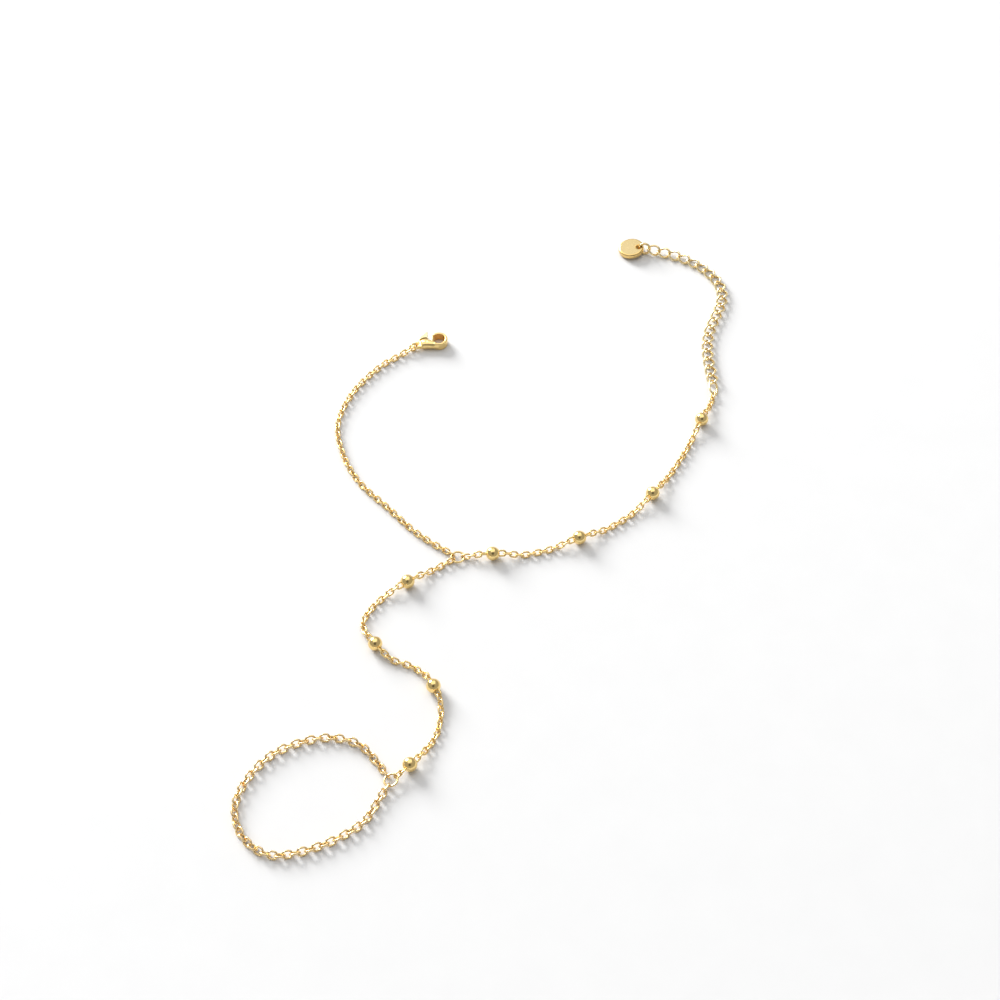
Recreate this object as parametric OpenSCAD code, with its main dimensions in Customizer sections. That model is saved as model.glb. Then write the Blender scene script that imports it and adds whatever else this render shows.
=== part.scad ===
// Hand chain bracelet, laid out open on a flat surface: a clasp, a plain chain, a beaded chain with
// an extender and a tag, and a beaded chain down the hand to a finger loop. Millimetres, +Z up.
// The origin is on the surface, under the middle of the laid-out bracelet.

/* [Fine chain] */
// Outer length of a fine link
link_l = 2.08; // [1.8:0.02:2.4]
// Outer width of a fine link
link_w = 1.45; // [1.3:0.05:1.8]
// Wire of a fine link
link_wire = 0.31; // [0.24:0.01:0.36]

/* [Finger loop] */
// Outer length of a link of the finger loop
loop_link_l = 2.32; // [2:0.02:2.8]
// Outer width of a link of the finger loop
loop_link_w = 1.85; // [1.5:0.05:2]
// Wire of a link of the finger loop
loop_wire = 0.35; // [0.25:0.01:0.4]

/* [Beads] */
// Diameter of a bead
bead_d = 3; // [2.4:0.1:4]

/* [Rings] */
// Outer diameter of the rings at the junction and at the finger loop
ring_d = 3.1; // [2.8:0.1:4]
// Wire of the jump rings
ring_wire = 0.36; // [0.3:0.02:0.45]
// Outer length of the oval ring at the extender
extender_ring_l = 4.3; // [3.6:0.1:5]
// Outer width of the oval ring at the extender
extender_ring_w = 2.7; // [2.4:0.1:3.2]
// Wire of the tag's ring
tag_ring_wire = 0.45; // [0.35:0.05:0.5]

/* [Extender] */
// Outer length of an extender link
curb_l = 3.57; // [3:0.01:4]
// Outer width of an extender link
curb_w = 2.7; // [2.3:0.05:3]
// Wire of an extender link
curb_wire = 0.42; // [0.3:0.01:0.5]

/* [Tag] */
// Diameter of the tag
tag_d = 6.1; // [5:0.1:8]
// Thickness of the tag
tag_t = 1.3; // [0.8:0.1:1.5]
// Diameter of the tag's hole
tag_hole_d = 1.5; // [1.3:0.1:1.8]
// Metal left between the tag's hole and its rim
tag_web = 0.4; // [0.3:0.05:0.6]

/* [Clasp] */
// Thickness of the clasp
clasp_t = 2; // [1.8:0.1:2.4]
// Length from the middle of the tail eye to the middle of the hook
clasp_reach = 5.4; // [5.2:0.1:6.4]
// Inner diameter of the hook
hook_bore_d = 2.7; // [2.5:0.1:3.2]
// Width of the hook's band
hook_band = 0.65; // [0.55:0.05:0.9]
// Diameter of the tail eye
eye_d = 1.9; // [1.7:0.1:2.2]
// Thickness of the tail eye
eye_t = 0.8; // [0.7:0.1:1]
// Diameter of the hole in the tail eye
eye_hole_d = 1.1; // [1.05:0.05:1.2]
// Diameter of the rivet that the lever turns on
rivet_d = 0.7; // [0.6:0.05:0.8]
// Thickness of the lever where it sits between the cheeks
lever_t = 1; // [0.8:0.05:1.1]

/* [Clearances] */
// Gap between two pieces of wire that hang in each other
wire_gap = 0.15; // [0.1:0.01:0.18]
// Running clearance round the rivet, on the radius
rivet_gap = 0.07; // [0.03:0.01:0.1]
// Gap on each side of the lever between the cheeks
lever_gap = 0.1; // [0.08:0.01:0.15]

/* [Hidden] */
$fn = 48;

gold = [0.86, 0.68, 0.33];
pale_gold = [0.93, 0.83, 0.55];
satin_gold = [0.84, 0.73, 0.47];

// Routes of the chains on the surface, seen from above. Each runs from the middle of one ring,
// eye or hole to the middle of the next, and the points between them are chosen by hand.
junction_at = [-10, -12];
loop_ring_at = [-22.4, -66.5];
extender_ring_at = [48, 35.9];
clasp_eye_at = [-20.4, 48.7];
tag_hole_at = [32.7, 80.3];
plain_route = [
    junction_at, [-18.6, -5.8], [-25.6, 1.6], [-32, 8.6], [-36, 16.7], [-37.5, 25.5],
    [-34.6, 34.6], [-29.2, 42], [-24.6, 45.8], clasp_eye_at
];
wrist_route = [
    junction_at, [-2.6, -11.6], [6, -11], [16.5, -7.2], [25, -2.5], [32.5, 4.8], [39.6, 15.9],
    [44.5, 26.3], [46.7, 30.6], extender_ring_at
];
extender_route = [
    extender_ring_at, [47.2, 46.5], [47.9, 53], [50.2, 59.1], [51.9, 64.3], [51.2, 69.5],
    [47.5, 74.7], [42.8, 77.7], [38.4, 79.4], tag_hole_at
];
hand_route = [
    junction_at, [-14.5, -14.9], [-20, -18.7], [-25.5, -22.5], [-29.1, -27.4], [-29.2, -31],
    [-27.1, -34.3], [-23.5, -38], [-18.6, -40], [-14.3, -44.7], [-12.9, -50], [-13.7, -55.9],
    [-16.4, -60.6], [-18.9, -63.7], loop_ring_at
];
loop_route = [
    loop_ring_at, [-25, -62.8], [-28.8, -58.4], [-34.5, -56.7], [-40.8, -57.8], [-46.8, -61.1],
    [-51.2, -67.1], [-52.6, -73], [-50.5, -78.9], [-45.5, -82.6], [-39.4, -82.1], [-32.9, -79.5],
    [-27.4, -75.6], [-24.6, -70.6], loop_ring_at
];
// Direction in which the clasp points from its tail eye to its hook
clasp_turn = 13;

// Where the beads sit, as shares of their chain's length
wrist_beads = [0.08, 0.33, 0.575, 0.89];
hand_beads = [0.15, 0.43, 0.675, 0.95];

// Each link leans to one side of the chain and the next link to the other
lean = 45;
// A link leans more where it hangs in a ring that lies flat, and less in the clasp's upright ring
end_lean = 66;
clasp_end_lean = 25;
// Small change of lean from link to link, as in a chain that was put down by hand
sway = 6;
sway_step = 100;
// Lean of the rings that carry a chain from a hole or to another chain
clasp_ring_lean = 78;
extender_ring_lean = 40;
tag_ring_lean = -72;
// The ring at the finger loop is higher on the side of the bead next to it
loop_ring_tilt = 15;
// Steepest way down from a bead or ring to the surface, as rise over run
slope = 0.25;
// Extra radius of a ring that passes round the edge of a hole
ring_play = 0.08;
// Points of a route's smooth curve between two chosen points
curve_steps = 12;
// Twist of an extender link to each side of its middle, and the sides of its mesh
curb_twist = 45;
// The last extender links roll to meet the tag's ring, the last one by this angle
curb_end_roll = -27;
curb_end_links = 4;
curb_sides = 14;
curb_wire_sides = 6;

link_pitch = link_l - 2 * link_wire - wire_gap;
loop_pitch = loop_link_l - 2 * loop_wire - wire_gap;
curb_pitch = curb_l - 2 * curb_wire - wire_gap;
clasp_ring_r = eyelet_ring_r(eye_hole_d, eye_t, ring_wire, clasp_ring_lean);
tag_ring_r = eyelet_ring_r(tag_hole_d, tag_t, tag_ring_wire, tag_ring_lean);
ring_reach = reach(ring_d, ring_wire);

// Heights of the middles of the rings above the surface
junction_z = lie(link_w, link_wire, end_lean);
loop_end_z = lie(loop_link_w, loop_wire, end_lean);
extender_ring_z = lie(extender_ring_w, ring_wire, extender_ring_lean);
clasp_ring_z = max(clasp_t / 2, clasp_ring_r * sin(clasp_ring_lean) + ring_wire / 2);
// The tag and its ring tilt together, until the tag's far rim is on the surface
tag_rim = tag_t / 3;
tag_hole_x = tag_d / 2 - tag_web - tag_hole_d / 2;
tag_tilt = tag_tilt_at(tag_ring_z_at(0));
tag_ring_z = tag_ring_z_at(tag_tilt);

plain_track = track(plain_route);
wrist_track = track(wrist_route);
extender_track = track(extender_route);
hand_track = track(hand_route);
loop_track = track(loop_route);

// Directions in which the chains leave the ring at the finger loop, and the way the ring rises
loop_out = on(loop_track, ring_reach) - loop_ring_at;
loop_back = on(loop_track, loop_track[2] - ring_reach) - loop_ring_at;
hand_in = on(hand_track, hand_track[2] - ring_reach) - loop_ring_at;
loop_ring_rise = -(loop_out + loop_back) / norm(loop_out + loop_back) * sin(loop_ring_tilt);
loop_ring_z = loop_end_z - min(loop_out * loop_ring_rise, loop_back * loop_ring_rise);
hand_end_z = loop_ring_z + hand_in * loop_ring_rise;
loop_start_z = loop_ring_z + loop_out * loop_ring_rise;
loop_finish_z = loop_ring_z + loop_back * loop_ring_rise;
tag_end_z = tag_ring_z + eyelet_reach(tag_ring_r, tag_ring_wire) * sin(tag_tilt);

// Stretch of each track that its links fill, from the first joint to the last
plain_span = [ring_reach, plain_track[2] - clasp_ring_r - eyelet_reach(clasp_ring_r, ring_wire)];
wrist_span = [ring_reach, wrist_track[2] - reach(extender_ring_l, ring_wire)];
extender_span = [
    reach(extender_ring_l, ring_wire),
    extender_track[2] - tag_ring_r - eyelet_reach(tag_ring_r, tag_ring_wire)
];
hand_span = [ring_reach, hand_track[2] - ring_reach];
loop_span = [ring_reach, loop_track[2] - ring_reach];

// Extra length of chain that one climb from the surface to a bead's middle takes
climb = (bead_d / 2 - lie(link_w, link_wire, lean)) * (sqrt(1 + slope ^ 2) - 1) / slope;
plain_count = count(plain_span, link_pitch, 1);
wrist_count = count(wrist_span, link_pitch, 2 * len(wrist_beads) + 1);
hand_count = count(hand_span, link_pitch, 2 * len(hand_beads) + 1);
loop_count = count(loop_span, loop_pitch);
extender_count = count(extender_span, curb_pitch, 1);

// Half the number of link pitches that a bead takes, with the link soldered to each side
bead_half = ceil((bead_d / 2 + link_wire + 1.5 * wire_gap) / link_pitch);
wrist_marks = [for (share = wrist_beads) round(share * wrist_count)];
hand_marks = [for (share = hand_beads) round(share * hand_count)];

plain_leans = leans(plain_count, end_lean, clasp_end_lean);
wrist_leans = leans(wrist_count, end_lean, lean);
hand_leans = leans(hand_count, end_lean, end_lean);
loop_leans = leans(loop_count, end_lean, end_lean);

plain_joints = joints(plain_track, plain_span, link_pitch, settled(
    plain_leans, link_w, link_wire, link_pitch,
    [[0, junction_z], [1, junction_z], [plain_count, clasp_ring_z]]
));
wrist_joints = joints(wrist_track, wrist_span, link_pitch, settled(
    wrist_leans, link_w, link_wire, link_pitch,
    concat([[0, junction_z], [1, junction_z], [wrist_count, extender_ring_z]], bead_holds(wrist_marks))
));
hand_joints = joints(hand_track, hand_span, link_pitch, settled(
    hand_leans, link_w, link_wire, link_pitch,
    concat([[0, junction_z], [1, junction_z], [hand_count, hand_end_z]], bead_holds(hand_marks))
));
loop_joints = joints(loop_track, loop_span, loop_pitch, settled(
    loop_leans, loop_link_w, loop_wire, loop_pitch,
    [[0, loop_start_z], [1, loop_end_z], [loop_count - 1, loop_end_z], [loop_count, loop_finish_z]]
));
extender_rolls = [
    for (k = [0:extender_count - 1]) curb_end_roll * max(0, 1 - (extender_count - 1 - k) / curb_end_links)
];
// A twisted link rests on the middle of its side, which leans by about half the twist
extender_joints = joints(extender_track, extender_span, curb_pitch, settled(
    [for (roll = extender_rolls) curb_twist / 2 + 0.7 * abs(roll)], curb_w, curb_wire, curb_pitch,
    [[0, extender_ring_z], [extender_count, tag_end_z]]
));

// Plan of the clasp, from the middle of the tail eye to the middle of the hook along +X, with the
// lever on the +Y side. The hook ends at hook_end, and the lever's gate closes the rest of it.
hook_mid_r = (hook_bore_d + hook_band) / 2;
hook_at = [clasp_reach, 0.3];
hook_start = 228;
hook_end = 492;
hook_edge = 0.22;
pivot_at = [2.1, 0.15];
cheek_r = 1.15;
neck_r = 0.8;
neck_at = hook_at + [-0.6, neck_r - hook_mid_r - hook_band / 2];
tail_w = 1.5;
neck_w = 1.5;
// Radius of the rounded edges of the clasp's body
clasp_edge = 0.35;
hub_r = 0.62;
gate_r = 0.25;
gate_low = 538;
gate_top = hook_end + (gate_r + lever_gap) / hook_mid_r * 180 / PI;
fin_at = [2.95, 2.75];
fin_r = 0.27;
heel_at = [1.15, 1.4];
heel_r = 0.2;
fin_t = 0.9 * clasp_t;
fin_start_r = cheek_r + lever_gap;
// How far the lever turns into the hook, in degrees
lever_open = 22;
groove = 0.06;

// Half-height at which a tilted link or ring touches the surface
function lie(w, wire, roll) = (w - wire) / 2 * abs(sin(roll)) + wire / 2;

// From the middle of a ring to the joint between it and the next link
function reach(outer, wire) = outer / 2 - wire - wire_gap / 2;
function eyelet_reach(r, wire) = r - (wire + wire_gap) / 2;

// Radius of a ring whose wire runs through the middle of a hole and clears the hole's edges
function eyelet_ring_r(hole_d, t, wire, roll) =
    let (rise = t / 2 / sin(roll), h = sqrt((hole_d / 2) ^ 2 - (t / 2 / tan(roll)) ^ 2))
    let (c = wire / 2 + wire_gap)
    (h ^ 2 + rise ^ 2 - c ^ 2) / (2 * (h - c)) + ring_play;

// Links are counted up, so that a chain is never stretched past its pitch
function count(span, pitch, climbs = 0) = ceil((span[1] - span[0] + climbs * climb) / pitch);

function tag_ring_z_at(tilt) =
    tag_ring_r * sqrt(1 - (cos(tag_ring_lean) * cos(tilt)) ^ 2) + tag_ring_wire / 2;
function tag_tilt_at(z) =
    let (arm = tag_ring_r + tag_hole_x + tag_d / 2 - tag_rim, drop = tag_t / 2 - tag_rim)
    asin((z - tag_rim) / norm([arm, drop])) - atan2(drop, arm);

// One point of the smooth curve from b to c, with a before and d after them
function bend(a, b, c, d, t) =
    0.5 * (2 * b + (c - a) * t + (2 * a - 5 * b + 4 * c - d) * t ^ 2 + (3 * b - a - 3 * c + d) * t ^ 3);

function curve(p) = concat(
    [
        for (i = [0:len(p) - 2], step = [0:curve_steps - 1])
            bend(p[max(i - 1, 0)], p[i], p[i + 1], p[min(i + 2, len(p) - 1)], step / curve_steps)
    ],
    [p[len(p) - 1]]
);

function runs(q) = [
    for (i = 0, s = 0; i < len(q); s = s + (i + 1 < len(q) ? norm(q[i + 1] - q[i]) : 0), i = i + 1) s
];

// A track is a route's curve as two tables, X and Y against the distance along it, and its length
function track(route) =
    let (q = curve(route), s = runs(q))
    [
        [for (i = [0:len(q) - 1]) [s[i], q[i].x]],
        [for (i = [0:len(q) - 1]) [s[i], q[i].y]],
        s[len(s) - 1]
    ];

function on(track, s) = [lookup(s, track[0]), lookup(s, track[1])];

// Lean of each link, counted so that the last link always leans the same way
function leans(n, first, last) = [
    for (k = [0:n - 1])
        let (side = (n - 1 - k) % 2 == 0 ? -1 : 1)
        side * (k == 0 ? first : k == n - 1 ? last : lean + sway * sin(k * sway_step))
];

// Heights of the joints: links lie on the surface unless a held joint near them lifts them
function settled(rolls, w, wire, pitch, held) = [
    for (k = [0:len(rolls)])
        max(concat(
            [
                lie(w, wire, rolls[max(k - 1, 0)]),
                lie(w, wire, rolls[min(k, len(rolls) - 1)])
            ],
            [for (h = held) h[1] - slope * pitch * abs(k - h[0])]
        ))
];

function bead_holds(marks) = [
    for (m = marks, side = [-1, 1]) [m + side * bead_half, bead_d / 2]
];

// Joints at equal steps in space: where the chain climbs, its steps are shorter as seen from above
function joints(track, span, pitch, heights) =
    let (n = len(heights) - 1)
    let (steps = [for (k = [0:n - 1]) sqrt(pitch ^ 2 - (heights[k + 1] - heights[k]) ^ 2)])
    let (gone = [for (k = 0, s = 0; k <= n; s = s + (k < n ? steps[k] : 0), k = k + 1) s])
    [
        for (k = [0:n])
            let (p = on(track, span[0] + (span[1] - span[0]) * gone[k] / gone[n]))
            [p.x, p.y, heights[k]]
    ];

function in_bead(k, marks) =
    len([for (m = marks) if (k >= m - bead_half && k < m + bead_half) m]) > 0;

function on_hook(angle) = hook_at + hook_mid_r * [cos(angle), sin(angle)];

// Puts its children midway between two joints, with their X axis from a to b, rolled about it
module between(a, b, roll = 0) {
    d = b - a;
    translate((a + b) / 2)
        rotate([0, -atan2(d.z, norm([d.x, d.y])), atan2(d.y, d.x)])
            rotate([roll, 0, 0])
                children();
}

// Oval link: two half rings and two straight wires, the long side on X
module oval_link(l, w, wire) {
    straight = l - w;
    bend_r = (w - wire) / 2;
    for (side = [-1, 1]) {
        translate([side * straight / 2, 0, 0])
            rotate([0, 0, -90 * side])
                rotate_extrude(angle = 180)
                    translate([bend_r, 0])
                        circle(d = wire);
        translate([-straight / 2, side * bend_r, 0])
            rotate([0, 90, 0])
                cylinder(h = straight, d = wire);
    }
}

module round_ring(r, wire) {
    rotate_extrude()
        translate([r, 0])
            circle(d = wire);
}

module chain(joints, rolls, l, w, wire, marks = []) {
    for (k = [0:len(rolls) - 1])
        if (!in_bead(k, marks))
            between(joints[k], joints[k + 1], rolls[k])
                oval_link(l, w, wire);
}

// Ball with a link soldered to each side, both let into it
module bead(joints, rolls, mark) {
    a = joints[mark - bead_half];
    b = joints[mark + bead_half];
    step = norm(b - a) / (2 * bead_half);
    eye_x = (bead_half - 0.5) * step;
    stem = 2 * (eye_x - (link_l - link_wire) / 2);
    between(a, b) {
        sphere(d = bead_d);
        rotate([0, 90, 0])
            cylinder(h = stem, d = link_wire, center = true);
        translate([-eye_x, 0, 0])
            rotate([rolls[mark - bead_half], 0, 0])
                oval_link(link_l, link_w, link_wire);
        translate([eye_x, 0, 0])
            rotate([rolls[mark + bead_half - 1], 0, 0])
                oval_link(link_l, link_w, link_wire);
    }
}

// Wire of a twisted link at angle u round the link and angle v round the wire
function curb_point(u, v) =
    let (a = (curb_l - curb_wire) / 2, b = (curb_w - curb_wire) / 2)
    let (turn = curb_twist * cos(u), rate = -curb_twist * PI / 180 * sin(u))
    let (side = [0, cos(turn), sin(turn)], up = [0, -sin(turn), cos(turn)])
    let (middle = [a * cos(u), 0, 0] + b * sin(u) * side)
    let (along = [-a * sin(u), 0, 0] + b * cos(u) * side + b * sin(u) * rate * up)
    let (t = along / norm(along))
    let (n = cross(cross(t, [a * cos(u), 0, 0] + b * sin(u) * side), t))
    let (out = n / norm(n))
    middle + curb_wire / 2 * (cos(v) * out + sin(v) * cross(t, out));

module curb_link() {
    points = [
        for (i = [0:curb_sides - 1], j = [0:curb_wire_sides - 1])
            curb_point(360 * i / curb_sides, 360 * j / curb_wire_sides)
    ];
    faces = [
        for (i = [0:curb_sides - 1], j = [0:curb_wire_sides - 1], half = [0, 1])
            let (i2 = (i + 1) % curb_sides, j2 = (j + 1) % curb_wire_sides)
            let (a = i * curb_wire_sides, b = i2 * curb_wire_sides)
            half == 0 ? [a + j, b + j, b + j2] : [a + j, b + j2, a + j2]
    ];
    polyhedron(points, faces);
}

// Two circles and the straight sides that touch both
module taper(a, ra, b, rb) {
    d = b - a;
    lay = acos((ra - rb) / norm(d));
    heading = atan2(d.y, d.x);
    translate(a)
        circle(r = ra);
    translate(b)
        circle(r = rb);
    polygon([
        a + ra * [cos(heading + lay), sin(heading + lay)],
        b + rb * [cos(heading + lay), sin(heading + lay)],
        b + rb * [cos(heading - lay), sin(heading - lay)],
        a + ra * [cos(heading - lay), sin(heading - lay)]
    ]);
}

// Round disc with rounded edges, and a straight bar with the same edges from a to b
module soft_disc(at, r) {
    translate([at.x, at.y, 0])
        rotate_extrude() {
            translate([0, -clasp_t / 2])
                square([r - clasp_edge, clasp_t]);
            translate([0, clasp_edge - clasp_t / 2])
                square([r, clasp_t - 2 * clasp_edge]);
            for (side = [-1, 1])
                translate([r - clasp_edge, side * (clasp_t / 2 - clasp_edge)])
                    circle(r = clasp_edge);
        }
}

module soft_bar(a, b, w) {
    d = b - a;
    translate([a.x, a.y, 0])
        rotate([90, 0, 90 + atan2(d.y, d.x)])
            linear_extrude(height = norm(d)) {
                square([w, clasp_t - 2 * clasp_edge], center = true);
                square([w - 2 * clasp_edge, clasp_t], center = true);
                for (x = [-1, 1], y = [-1, 1])
                    translate([x * (w / 2 - clasp_edge), y * (clasp_t / 2 - clasp_edge)])
                        circle(r = clasp_edge);
            }
}

module at_clasp() {
    translate([clasp_eye_at.x, clasp_eye_at.y, clasp_t / 2])
        rotate([0, 0, clasp_turn])
            children();
}

// Band of the hook: a ring with rounded edges, open where the gate closes it
module hook() {
    flat = clasp_t - 2 * hook_edge;
    translate([hook_at.x, hook_at.y, 0])
        rotate([0, 0, hook_start])
            rotate_extrude(angle = hook_end - hook_start)
                translate([hook_mid_r, 0]) {
                    square([hook_band, flat], center = true);
                    square([hook_band - 2 * hook_edge, clasp_t], center = true);
                    for (x = [-1, 1], y = [-1, 1])
                        translate([x * (hook_band / 2 - hook_edge), y * flat / 2])
                            circle(r = hook_edge);
                }
}

module clasp_body() {
    color(gold)
        at_clasp() {
            difference() {
                intersection() {
                    union() {
                        soft_disc([0, 0], eye_d / 2);
                        soft_bar([0, 0], pivot_at, tail_w);
                        soft_disc(pivot_at, cheek_r);
                        soft_bar(pivot_at, neck_at, neck_w);
                        soft_disc(neck_at, neck_r);
                    }
                    clasp_side();
                }
                cylinder(h = 2 * clasp_t, d = eye_hole_d, center = true);
                translate([hook_at.x, hook_at.y, 0])
                    cylinder(h = 2 * clasp_t, d = hook_bore_d, center = true);
                lever_slot();
                for (side = [-1, 1])
                    translate([pivot_at.x, pivot_at.y, side * clasp_t / 2])
                        rivet_groove();
            }
            hook();
            translate([pivot_at.x, pivot_at.y, 0])
                cylinder(h = clasp_t - 2 * groove, d = rivet_d, center = true);
        }
}

// Side view of the clasp: thin at the tail eye, full thickness from the shoulder on
module clasp_side() {
    from = -eye_d;
    thin_end = 0.5 * eye_d;
    full_start = thin_end + clasp_t / 3;
    rotate([90, 0, 0])
        linear_extrude(height = 6 * cheek_r, center = true)
            polygon([
                [from, -eye_t / 2], [thin_end, -eye_t / 2], [full_start, -clasp_t / 2],
                [2 * clasp_reach, -clasp_t / 2], [2 * clasp_reach, clasp_t / 2],
                [full_start, clasp_t / 2], [thin_end, eye_t / 2], [from, eye_t / 2]
            ]);
}

module rivet_groove() {
    difference() {
        cylinder(h = 2 * groove, d = rivet_d + 2 * groove, center = true);
        cylinder(h = 4 * groove, d = rivet_d, center = true);
    }
}

// Pocket between the cheeks, with room for the lever from closed to open
module lever_slot() {
    arm = on_hook(gate_low) - pivot_at;
    low_at = pivot_at + [
        arm.x * cos(lever_open) + arm.y * sin(lever_open),
        arm.y * cos(lever_open) - arm.x * sin(lever_open)
    ];
    linear_extrude(height = lever_t + 2 * lever_gap, center = true) {
        taper(pivot_at, hub_r + lever_gap, fin_at, fin_r + lever_gap);
        taper(pivot_at, hub_r + lever_gap, low_at, gate_r + lever_gap);
        polygon([pivot_at, fin_at, fin_at + [cheek_r, 0], low_at + [cheek_r, 0], low_at]);
    }
}

// Hub on the rivet, an arm with the curved gate that closes the hook, and a fin for the thumb
module clasp_lever() {
    color(pale_gold)
        at_clasp()
            difference() {
                union() {
                    linear_extrude(height = lever_t, center = true) {
                        taper(pivot_at, hub_r, on_hook(gate_low), gate_r);
                        taper(pivot_at, hub_r, fin_at, fin_r);
                    }
                    translate([hook_at.x, hook_at.y, 0])
                        rotate([0, 0, gate_top])
                            rotate_extrude(angle = gate_low - gate_top)
                                translate([hook_mid_r, 0])
                                    square([2 * gate_r, lever_t], center = true);
                    translate([on_hook(gate_top).x, on_hook(gate_top).y, 0])
                        cylinder(h = lever_t, r = gate_r, center = true);
                    difference() {
                        linear_extrude(height = fin_t, center = true) {
                            taper(pivot_at, hub_r, fin_at, fin_r);
                            taper(heel_at, heel_r, fin_at, fin_r);
                            polygon([pivot_at, fin_at, heel_at]);
                        }
                        translate([pivot_at.x, pivot_at.y, 0])
                            cylinder(h = 2 * fin_t, r = fin_start_r, center = true);
                    }
                }
                translate([pivot_at.x, pivot_at.y, 0])
                    cylinder(h = 2 * lever_t, d = rivet_d + 2 * rivet_gap, center = true);
            }
}

module clasp_ring() {
    a = on(plain_track, plain_track[2] - 2 * clasp_ring_r);
    color(gold)
        between([a.x, a.y, clasp_ring_z], [clasp_eye_at.x, clasp_eye_at.y, clasp_ring_z], clasp_ring_lean)
            round_ring(clasp_ring_r, ring_wire);
}

module plain_chain() {
    color(gold)
        chain(plain_joints, plain_leans, link_l, link_w, link_wire);
}

module junction_ring() {
    color(gold)
        translate([junction_at.x, junction_at.y, junction_z])
            round_ring((ring_d - ring_wire) / 2, ring_wire);
}

module wrist_chain() {
    color(gold)
        chain(wrist_joints, wrist_leans, link_l, link_w, link_wire, wrist_marks);
}

module wrist_bead(i) {
    color(gold)
        bead(wrist_joints, wrist_leans, wrist_marks[i]);
}

module extender_ring() {
    color(pale_gold)
        between(wrist_joints[wrist_count], extender_joints[0], extender_ring_lean)
            oval_link(extender_ring_l, extender_ring_w, ring_wire);
}

module extender_chain() {
    color(pale_gold)
        for (k = [0:extender_count - 1])
            between(extender_joints[k], extender_joints[k + 1], extender_rolls[k])
                curb_link();
}

// Puts its children at the middle of the tag's ring, with +X down along the tag
module at_tag() {
    a = on(extender_track, extender_track[2] - 2 * tag_ring_r);
    translate([(a.x + tag_hole_at.x) / 2, (a.y + tag_hole_at.y) / 2, tag_ring_z])
        rotate([0, tag_tilt, atan2(tag_hole_at.y - a.y, tag_hole_at.x - a.x)])
            children();
}

module tag_ring() {
    color(gold)
        at_tag()
            rotate([tag_ring_lean, 0, 0])
                round_ring(tag_ring_r, tag_ring_wire);
}

// Disc with a rounded rim that hangs on its ring by a hole near the rim
module tag() {
    color(satin_gold)
        at_tag()
            translate([tag_ring_r + tag_hole_x, 0, 0])
                difference() {
                    rotate_extrude() {
                        translate([0, -tag_t / 2])
                            square([tag_d / 2 - tag_rim, tag_t]);
                        translate([0, tag_rim - tag_t / 2])
                            square([tag_d / 2, tag_t - 2 * tag_rim]);
                        for (side = [-1, 1])
                            translate([tag_d / 2 - tag_rim, side * (tag_t / 2 - tag_rim)])
                                circle(r = tag_rim);
                    }
                    translate([-tag_hole_x, 0, 0])
                        cylinder(h = 2 * tag_t, d = tag_hole_d, center = true);
                }
}

module hand_chain() {
    color(gold)
        chain(hand_joints, hand_leans, link_l, link_w, link_wire, hand_marks);
}

module hand_bead(i) {
    color(gold)
        bead(hand_joints, hand_leans, hand_marks[i]);
}

module loop_ring() {
    color(gold)
        translate([loop_ring_at.x, loop_ring_at.y, loop_ring_z])
            rotate([0, -loop_ring_tilt, atan2(loop_ring_rise.y, loop_ring_rise.x)])
                round_ring((ring_d - ring_wire) / 2, ring_wire);
}

module finger_loop() {
    color(gold)
        chain(loop_joints, loop_leans, loop_link_l, loop_link_w, loop_wire);
}

clasp_body();
clasp_lever();
clasp_ring();
plain_chain();
junction_ring();
wrist_chain();
wrist_bead(0);  // wrist_bead_1
wrist_bead(1);  // wrist_bead_2
wrist_bead(2);  // wrist_bead_3
wrist_bead(3);  // wrist_bead_4
extender_ring();
extender_chain();
tag_ring();
tag();
hand_chain();
hand_bead(0);  // hand_bead_1
hand_bead(1);  // hand_bead_2
hand_bead(2);  // hand_bead_3
hand_bead(3);  // hand_bead_4
loop_ring();
finger_loop();
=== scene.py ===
"""Looks of the hand chain bracelet: fine wire links, round beads, an extender with a tag and a lever clasp,
all in pale gold plate, laid open on a white table. Shapes are worked out in millimetres and put into meshes
in metres. Each piece lies where the solid that it stands for lies."""

import math

import bpy
import numpy as np
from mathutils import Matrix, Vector


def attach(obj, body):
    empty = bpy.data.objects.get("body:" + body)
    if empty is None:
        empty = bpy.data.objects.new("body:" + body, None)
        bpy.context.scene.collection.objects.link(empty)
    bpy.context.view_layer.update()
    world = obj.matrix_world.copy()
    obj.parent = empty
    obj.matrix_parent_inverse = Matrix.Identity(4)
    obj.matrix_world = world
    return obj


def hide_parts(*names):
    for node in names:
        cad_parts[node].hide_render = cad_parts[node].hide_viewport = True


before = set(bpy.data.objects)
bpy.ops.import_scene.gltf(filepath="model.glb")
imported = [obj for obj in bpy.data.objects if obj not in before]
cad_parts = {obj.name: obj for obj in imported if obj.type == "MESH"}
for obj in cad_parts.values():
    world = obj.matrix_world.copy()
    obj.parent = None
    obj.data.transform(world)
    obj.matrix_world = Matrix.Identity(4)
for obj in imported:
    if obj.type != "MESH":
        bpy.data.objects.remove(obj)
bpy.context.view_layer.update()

MM = 0.001
BODY, LEVER = "bracelet", "lever"

# Links of wire: outer length, outer width, wire diameter
FINE_LINK = (2.08, 1.45, 0.31)
LOOP_LINK = (2.32, 1.85, 0.35)
EXTENDER_RING = (4.3, 2.7, 0.36)
CURB_LINK = (3.57, 2.7, 0.42)
# How far the extender's links are twisted at each end
CURB_TWIST = math.radians(45)
RING_WIRE = 0.36
CLASP_RING_WIRE, TAG_RING_WIRE = 0.36, 0.45
# Balls of the beads: how far the skin sinks at a link, as a share of the radius, over which angle, and how
# far the painted shade round a link reaches
BEAD_D, BEAD_SINK, BEAD_SINK_ANGLE, BEAD_SHADE_ANGLE = 3.0, 0.05, 0.2, 0.3
# Links are drawn this much fuller all round than their solids, which keep a gap where real links touch
FULLER = 0.04

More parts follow.
